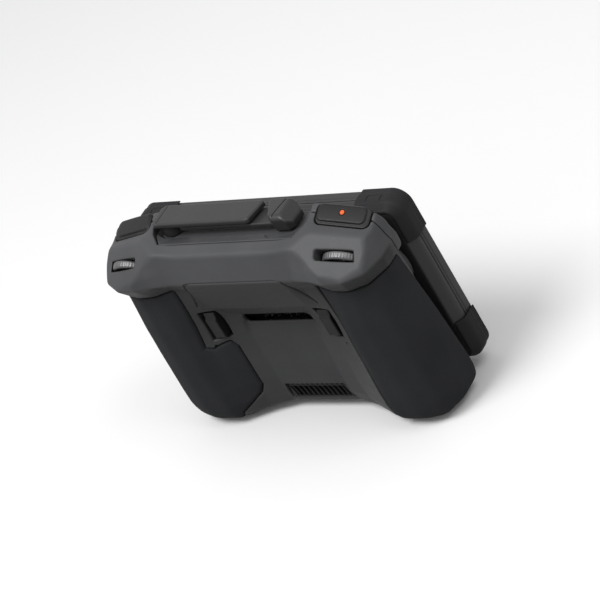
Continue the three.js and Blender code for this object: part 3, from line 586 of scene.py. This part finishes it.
space = Space((-43, -1.2, 123.8), (37, 17.5, 136.8), 0.33 * COARSE)
x, y, z = space.x, space.y, space.z
knob = smooth_max(polygon(x, y, KNOB) + 0.3, slab(z, 126.1, 135.2), 1.0) - 0.3
knob = smooth_max(knob, (z - x - 171.2) / 1.414, 1.0)
knob = smooth_max(knob, (z + y * 0.8 - 146.6) / 1.28, 1.0)
knob = cut(knob, np.maximum(np.abs(x + 31.6 - 0.2 * (y - 8)) - 0.32, 134.5 - z), 0.3)
strip = smooth_max(rounded_rect(x - 1.5, y - 8.7, 33.5, 6.7, 2), slab(z, 128.9, 131.5), 0.9)
right = smooth_min(smooth_min(knob, strip, 0.8), rod_z(space, *KNOB_PIVOT, 6, TRAY_Z + GAP, 128, 0.6), 0.6)
hole = rod_z(space, *KNOB_PIVOT, PIVOT_HOLE["radius"], 120, PIVOT_HOLE["top"])
lay("antenna_right", cut(right, hole, 0.3), space)

# ---- shoulder buttons, dials and rear paddles ----
space = Space((53.5, -3, 116), (89, 22, 139), 0.3 * COARSE)
u, v, w = button_axes(space)
half_u, half_v = BUTTON["half"]
base = smooth_max(rounded_rect(u, v, half_u, half_v, 3.5), slab(w, -4, 0.15), 0.9)
crown = 1.25 - 0.35 * (u / half_u) ** 2 - 0.25 * (v / half_v) ** 2
pad = rounded_rect(u + 0.9, v + 0.7, half_u - 1.5, half_v - 1.2, 3)
pad = smooth_max(pad, np.maximum(w - crown, -3 - w), 1.0)
button = smooth_min(base, pad, 0.4)
make("photo_button", skin(button, space.low, space.step))
dot = np.hypot(u + 0.6, v + 1.35)
record = cut(button, np.maximum(dot - 1.6, 0.2 - w), 0.3)
make("record_button", skin(record, space.low, space.step), mirrored=True)
space = Space((67.5, 4.5, 126), (75, 13.5, 134), 0.12 * COARSE)
u, v, w = button_axes(space)
dot = np.hypot(u + 0.6, v + 1.35)
ring = np.maximum(np.abs(dot - 0.75) - 0.1, 1.05 - w)
bead = cut(smooth_max(dot - 1.3, slab(w, 0.5, 1.25), 0.3), ring, 0.1)
make("record_dot", skin(bead, space.low, space.step), mirrored=True)

space = Space((58.5, 16, 97.5), (85, 35, 125.5), 0.22 * COARSE)
along, out, aside = dial_axes(space)
rim = np.hypot(aside, out)
teeth = 0.08 * np.clip(np.cos(44 * np.arctan2(out, aside)), -0.8, 0.5) * np.clip(2.1 - np.abs(along), 0, 1)
wheel = smooth_max(rim - DIAL["radius"] + 0.1 - teeth, np.abs(along) - DIAL["width"] / 2, 1.4)
wheel = cut(wheel, np.maximum(np.abs(rim - 6) - 3.2, 1.3 - np.abs(along)), 0.5)
lay_pair("dial_wheel", cut(wheel, rim - 1.8, 0.3), space)

space = Space((33.5, 18, 60), (45.5, 30, 81), 0.25 * COARSE)
x, y, z = space.x, space.y, space.z
lay_pair("rear_paddle", smooth_max(polygon(y, z, PADDLE), np.abs(x - PADDLE_X) - PADDLE_HALF, 0.9), space)

# ---- cooling grille ----
space = Space((-22.5, 19.6, 9), (22.5, 23.6, 22.4), 0.28 * COARSE)
x, y, z = space.x, space.y, space.z
plate = smooth_max(polygon(x, z, VENT) + 0.35, slab(y, 20.6, 22.2), 0.4)
lean = x - 0.25 * (z - 15)
gaps = np.abs((lean + 17) % 3.4 - 1.7) - 1.4
gaps = np.maximum(np.maximum(gaps, slab(z, 10.8, 18.4)), np.abs(lean) - 18.7)
plate = cut(plate, gaps, 0.3)
stud = np.hypot((x + 18.7) % 3.4 - 1.7, z - 19.7) - 0.62
plate = smooth_min(plate, smooth_max(np.maximum(stud, np.abs(x) - 18.5), slab(y, 21, 22.9), 0.3), 0.2)
lay("vent_grille", plate, space)

# ---- screen ----
def screen_edge(space):
    """Flat distance to the screen's outline, and how far outside its sloped back edge a point is."""
    flat = rounded_rect(space.x, space.z - TILT_Z, SCREEN["half_x"], SCREEN["half_z"], SCREEN["corner"])
    return flat, (flat + BACK_SLOPE * (space.y + 10.5)) / math.hypot(1, BACK_SLOPE)


def screen_hollow(space):
    """Flat distance to the outline of the space inside the screen."""
    return np.maximum(space.x - HOLLOW_X, np.abs(space.z - TILT_Z) - HOLLOW_Z)


space = Space((0, -14.6, 7.5), (90.2, -5.2, 119.5), 0.42 * COARSE)
x, y, z = space.x, space.y, space.z
flat, sloped = screen_edge(space)
hub_r = np.hypot(x, z - TILT_Z)
cover = smooth_max(flat, sloped + 0.299, 1.2)
cover = smooth_max(cover, slab(y, SCREEN["split"] + GAP / 2, SCREEN["back"]), 0.8)
inside = cut(np.maximum(screen_hollow(space), slab(y, -15, -8)), hub_r - 20 + 0 * y, 0.3)
cover = np.maximum(cover, -inside)
cover = cut(cover, smooth_max(hub_r - 18, -12.6 - y, 0.4), 0.6)
line = np.maximum(np.abs(rounded_rect(x, z - TILT_Z, 76, 42, 6)) - 0.4, -6.5 - y)
vents = np.maximum(np.abs((x - 1.5) % 3 - 1.5) - 0.7, slab(z, 26, 31))
vents = np.maximum(vents, np.maximum(slab(x, 40, 70), -6.7 - y))
cover = cut(cut(cover, line, 0.4), vents, 0.3)
lay_whole("screen_rear_cover", cover, space)

space = Space((0, -22, 7.5), (90.2, -13.4, 119.5), 0.42 * COARSE)
x, y, z = space.x, space.y, space.z
flat, sloped = screen_edge(space)
rim = smooth_max(flat, slab(y, SCREEN["front"], SCREEN["split"] - GAP / 2), 1.0)
rim = cut(rim, np.maximum(rounded_rect(x, z - TILT_Z, 85.3, 51.3, 1.5), y + 18.6), 0.3)
rim = cut(rim, rounded_rect(x, z - TILT_Z, 80, 47, 1) + 0 * y, 0.3)
groove = np.maximum(np.abs(y + 15.8) - 0.3, -0.5 - flat)
lay_whole("screen_frame", cut(rim, groove, 0.3), space)

space = Space((0, -21.6, 11.6), (86, -18.2, 115.4), 0.42 * COARSE)
x, y, z = space.x, space.y, space.z
glass = smooth_max(rounded_rect(x, z - TILT_Z, 85, 51, 1.5), slab(y, -20.8, -18.9), 0.5)
lay_whole("display_glass", glass, space)

for stem, low_z, high_z, corner in (
        ("bumper_top", 91.5, 121.5, [(62.5, 140), (62.5, 111.5), (80, 93.5), (110, 93.5), (110, 140)]),
        ("bumper_bottom", 5.5, 37, [(62.5, -9), (110, -9), (110, 35.5), (80, 35.5), (62.5, 15.5)])):
    space = Space((61.5, -22.4, low_z), (92.2, -4.6, high_z), 0.33 * COARSE)
    x, y, z = space.x, space.y, space.z
    flat, sloped = screen_edge(space)
    step_in = 0.45 * np.clip((np.abs(y + 13.2) - 3.6) / 0.5, 0, 1)
    bumper = smooth_max(flat - 1.6 + step_in, sloped - 0.897, 1.2)
    bumper = smooth_max(bumper, slab(y, -21.4, -6), 0.7)
    bumper = np.maximum(bumper, -np.maximum(flat - GAP, sloped + 0.075))
    bumper = np.maximum(bumper, -np.maximum(screen_hollow(space), y + 18))
    bumper = smooth_max(bumper, polygon(x, z, corner), 0.8)
    window = np.abs(rounded_rect(x - 74, y + 13.2, 4.4, 2.3, 1)) - 0.3
    bumper = cut(bumper, np.maximum(window, 119.6 - z if stem == "bumper_top" else z - 7.4), 0.3)
    lay_pair(stem, bumper, space)

# ---- screen hinge, arm and tilt bracket ----
space = Space((0, -7, 105.5), (20.5, 4, 122.6), 0.33 * COARSE)
x, y, z = space.x, space.y, space.z
plate = block(space, (-19, 19), (1.5, 2.8), (107, 121.5), 0.5)
lug = smooth_min(rod_x(space, HINGE_Y, HINGE_Z, KNUCKLE_R, 10.6, 15.4, 0.6),
                 block(space, (10.6, 15.4), (HINGE_Y, 2), (HINGE_Z - 2.4, HINGE_Z + 2.4), 0.4), 0.4)
bracket = cut(smooth_min(plate, lug, 1.0), rod_x(space, HINGE_Y, HINGE_Z, PIN_R + GAP, -30, 30), 0.3)
sunk = np.hypot(x - 15.8, z - 110) - 1.2 - np.maximum(1.9 - y, 0) * 0.9
lay_whole("hinge_bracket", cut(bracket, sunk, 0.2), space)

space = Space((0, -5.8, 60), (17, 1.6, 122), 0.33 * COARSE)
x, y, z = space.x, space.y, space.z
arm = block(space, (-16, 16), (HINGE_Y - 2.6, HINGE_Y + 2.6), (TILT_Z + 4.4, HINGE_Z - 5.4), 1.3)
neck = smooth_min(block(space, (-10.2, 10.2), (HINGE_Y - 2.6, HINGE_Y + 2.6), (HINGE_Z - 8, HINGE_Z)),
                  block(space, (-8, 8), (HINGE_Y - 2.4, HINGE_Y + 2.4), (TILT_Z, TILT_Z + 7)), 0.5)
knuckles = np.minimum(rod_x(space, HINGE_Y, HINGE_Z, KNUCKLE_R, -10.2, 10.2, 0.6),
                      rod_x(space, HINGE_Y, TILT_Z, TILT_KNUCKLE_R, -8, 8, 0.6))
arm = smooth_min(smooth_min(arm, neck, 2.0), knuckles, 0.5)
panel = np.maximum(rounded_rect(x, z - 90, 11.5, 17.5, 4), 1.9 - np.abs(y - HINGE_Y))
arm = cut(arm, panel, 0.5)
for pin_z in (HINGE_Z, TILT_Z):
    arm = cut(arm, rod_x(space, HINGE_Y, pin_z, PIN_R + GAP, -30, 30), 0.3)
lay_whole("screen_arm", arm, space)

space = Space((0, -10.2, 45.5), (18.2, 1, 81.5), 0.33 * COARSE)
x, y, z = space.x, space.y, space.z
hub_r = np.hypot(x, z - TILT_Z)
disc = smooth_max(hub_r - 17, slab(y, -9.4, -6.6), 0.6)
disc = cut(disc, np.maximum(np.abs(hub_r - 14.6) - 0.35, -7.0 - y), 0.3)
lug = smooth_min(rod_x(space, HINGE_Y, TILT_Z, TILT_KNUCKLE_R, 8.4, 13, 0.6),
                 block(space, (8.4, 13), (-8, HINGE_Y), (TILT_Z - 2.4, TILT_Z + 2.4), 0.4), 0.4)
disc = cut(smooth_min(disc, lug, 1.0), rod_x(space, HINGE_Y, TILT_Z, PIN_R + GAP, -30, 30), 0.3)
bolts = np.minimum(np.hypot(x, np.abs(z - TILT_Z) - 11), np.hypot(x - 11, z - TILT_Z - 7)) - 1.3
bolts = np.maximum(bolts, -7.6 - y)
lay_whole("tilt_bracket", cut(cut(disc, bolts, 0.3), hub_r - 3.3 + 0 * y, 0.4), space)

space = Space((0, -12.8, 46.5), (17, -5.8, 80.5), 0.33 * COARSE)
x, y, z = space.x, space.y, space.z
hub_r = np.hypot(x, z - TILT_Z)
hub = smooth_max(hub_r - 16, slab(y, -12.2, -9.7), 0.5)
hub = smooth_min(hub, smooth_max(hub_r - 3, slab(y, -10, -6.4), 0.5), 0.3)
driver_slot = np.maximum(np.maximum(x - 2, np.abs(z - TILT_Z) - 0.4), -6.9 - y)
lay_whole("swivel_hub", cut(hub, driver_slot, 0.2), space)
for node, pin_z, half in (("hinge_pin", HINGE_Z, 16), ("tilt_pin", TILT_Z, 13)):
    space = Space((0, HINGE_Y - 2, pin_z - 2), (half + 0.6, HINGE_Y + 2, pin_z + 2), 0.16 * COARSE)
    pin = rod_x(space, HINGE_Y, pin_z, PIN_R, -half, half, 0.5)
    dimple = np.hypot(space.y - HINGE_Y, space.z - pin_z) - 0.5
    lay_whole(node, cut(pin, np.maximum(dimple, half - 0.5 - space.x), 0.2), space)

# ---- thumb sticks ----
space = Space((STICK_X - 19, 2.6, STICK_Z - 19), (STICK_X + 19, 17.4, STICK_Z + 19), 0.36 * COARSE)
reach = np.hypot(space.x - STICK_X, space.z - STICK_Z)
cup = smooth_max(reach - WELL_R - 1.6, slab(space.y, 3.4, 16.6), 0.6)
cup = cut(cup, smooth_max(reach - WELL_R, space.y - 15.3, 2.6), 0.6)
ribs = np.maximum(np.abs(reach - 14.2) - 0.35, 15.7 - space.y)
lay_pair("stick_well", cut(cut(cup, ribs, 0.3), reach - 4 + 0 * space.y, 0.5), space)

space = Space((STICK_X - 13.2, 6.8, STICK_Z - 13.2), (STICK_X + 13.2, 15.8, STICK_Z + 13.2), 0.33 * COARSE)
reach = np.hypot(space.x - STICK_X, space.z - STICK_Z)
base = cut(smooth_max(reach - 12.5, slab(space.y, 13.7, 15.1), 0.5), reach - 4 + 0 * space.y, 0.4)
for x0, x1 in ((-11.6, -9.2), (9.2, 11.6)):
    ear = block(space, (STICK_X + x0, STICK_X + x1), (7.4, 14), (STICK_Z - 2.6, STICK_Z + 2.6), 0.7)
    base = smooth_min(base, ear, 0.8)
lay_pair("stick_lifter", base, space)

space = Space((STICK_X - 9.2, 6.8, STICK_Z - 9.2), (STICK_X + 9.2, 11.2, STICK_Z + 9.2), 0.25 * COARSE)
reach = np.hypot(space.x - STICK_X, space.z - STICK_Z)
gimbal = smooth_max(np.abs(reach - 7.15) - 1.25, slab(space.y, 7.5, 10.5), 0.6)
pivots = np.maximum(np.abs(space.z - STICK_Z), np.abs(space.y - STICK_Y)) - 0.5
lay_pair("gimbal_ring", cut(gimbal, np.maximum(pivots, 7.7 - reach), 0.2), space)

space = Space((STICK_X - 4.8, 2.2, STICK_Z - 4.8), (STICK_X + 4.8, 13.6, STICK_Z + 4.8), 0.2 * COARSE)
reach = np.hypot(space.x - STICK_X, space.z - STICK_Z)
ball = np.sqrt(reach**2 + (space.y - STICK_Y) ** 2) - 3.95
lay_pair("stick_shaft", smooth_min(ball, smooth_max(reach - 2.2, slab(space.y, 3, STICK_Y), 0.3), 0.8), space)

CAP = [(-20, -1.1), (3, -1.2), (6.2, -1.9), (8.6, -1.9), (9.4, -1.1), (9.4, 1.2), (5, 2.6), (-20, 2.6)]
space = Space((STICK_X - 10.2, -2.8, STICK_Z - 10.2), (STICK_X + 10.2, 3.4, STICK_Z + 10.2), 0.22 * COARSE)
du, dv = space.x - STICK_X, space.z - STICK_Z
reach = np.hypot(du, dv)
cap = smooth_max(polygon(reach, space.y, CAP), reach - 9.35, 0.8)
turn = np.arctan2(dv, du)
notches = np.maximum(0.35 - np.abs(np.sin(18 * turn)) * 0.9, 8.9 - reach)
cross = np.maximum(np.minimum(np.abs(du), np.abs(dv)) - 0.35, np.maximum(4.6 - reach, reach - 8.2))
cap = cut(cap, np.maximum(notches, np.abs(space.y) - 0.9), 0.2)
lay_pair("stick_cap", cut(cap, np.maximum(cross, space.y + 1.45), 0.2), space)

# ---- keys on the front face ----
for node, (key_x, key_z, radius) in KEYS.items():
    edge = radius + 0.8
    space = Space((key_x - edge, -3.8, key_z - edge), (key_x + edge, 3, key_z + edge), 0.2 * COARSE)
    du, dv = space.x - key_x, space.z - key_z
    reach = np.hypot(du, dv)
    key = smooth_max(reach - radius, slab(space.y, FRONT_Y - 1, 2.4), 0.7)
    if node == "five_way_key":
        key = cut(key, np.maximum(np.abs(reach - 2.4) - 0.3, space.y + 2.6), 0.3)
        for a, b in ((1, 0), (-1, 0), (0, 1), (0, -1)):
            key = cut(key, np.maximum(np.hypot(du - 4 * a, dv - 4 * b) - 0.45, space.y + 2.7), 0.2)
    else:
        key = cut(key, np.sqrt(reach**2 + (space.y + 13.5) ** 2) - 10.9, 0.4)
    lay(node, key, space)

# ---- floor, light and camera ----
floor = bpy.data.objects.new("floor", bpy.data.meshes.new("floor"))
floor.data.from_pydata([(-6, -6, 0), (6, -6, 0), (6, 6, 0), (-6, 6, 0)], [], [(0, 1, 2, 3)])
bpy.context.scene.collection.objects.link(floor)
paper = bpy.data.materials.new("floor_paper")
paper.use_nodes = True
paper.node_tree.nodes["Principled BSDF"].inputs["Base Color"].default_value = (0.42, 0.42, 0.42, 1)
paper.node_tree.nodes["Principled BSDF"].inputs["Roughness"].default_value = 0.95
paper.node_tree.nodes["Principled BSDF"].inputs["Specular IOR Level"].default_value = 0.1
floor.data.materials.append(paper)

world = bpy.data.worlds.new("studio")
world.use_nodes = True
world.node_tree.nodes["Background"].inputs["Color"].default_value = (1, 1, 1, 1)
world.node_tree.nodes["Background"].inputs["Strength"].default_value = 1.15
bpy.context.scene.world = world
bpy.context.scene.view_settings.view_transform = "Standard"


def area_light(name, place, target, size, power):
    lamp = bpy.data.lights.new(name, "AREA")
    lamp.energy = power
    lamp.shape = "DISK"
    lamp.size = size
    holder = bpy.data.objects.new(name, lamp)
    holder.location = place
    holder.rotation_mode = "QUATERNION"
    holder.rotation_quaternion = (Vector(place) - Vector(target)).to_track_quat("Z", "Y")
    bpy.context.scene.collection.objects.link(holder)


MIDDLE = (0, 0, 0.07)
area_light("key", (0.25, 0.62, 1.35), MIDDLE, 0.7, 29)
area_light("fill", (-0.8, 0, 1.2), MIDDLE, 0.7, 8)

RIGHT = Vector((-0.7848, -0.4313, -0.4451))
UP = Vector((-0.0248, -0.6957, 0.7179))
BACK = Vector((-0.6193, 0.5744, 0.5353))
camera = bpy.data.objects.new("camera", bpy.data.cameras.new("camera"))
camera.data.sensor_width = 36
camera.data.lens = 165.9
camera.data.clip_end = 30
camera.matrix_world = Matrix((
    (RIGHT.x, UP.x, BACK.x, 0), (RIGHT.y, UP.y, BACK.y, 0), (RIGHT.z, UP.z, BACK.z, 0), (0, 0, 0, 1)))
camera.location = Vector((0, -0.010, 0.06195)) + 1.4966 * BACK
bpy.context.scene.collection.objects.link(camera)
bpy.context.scene.camera = camera
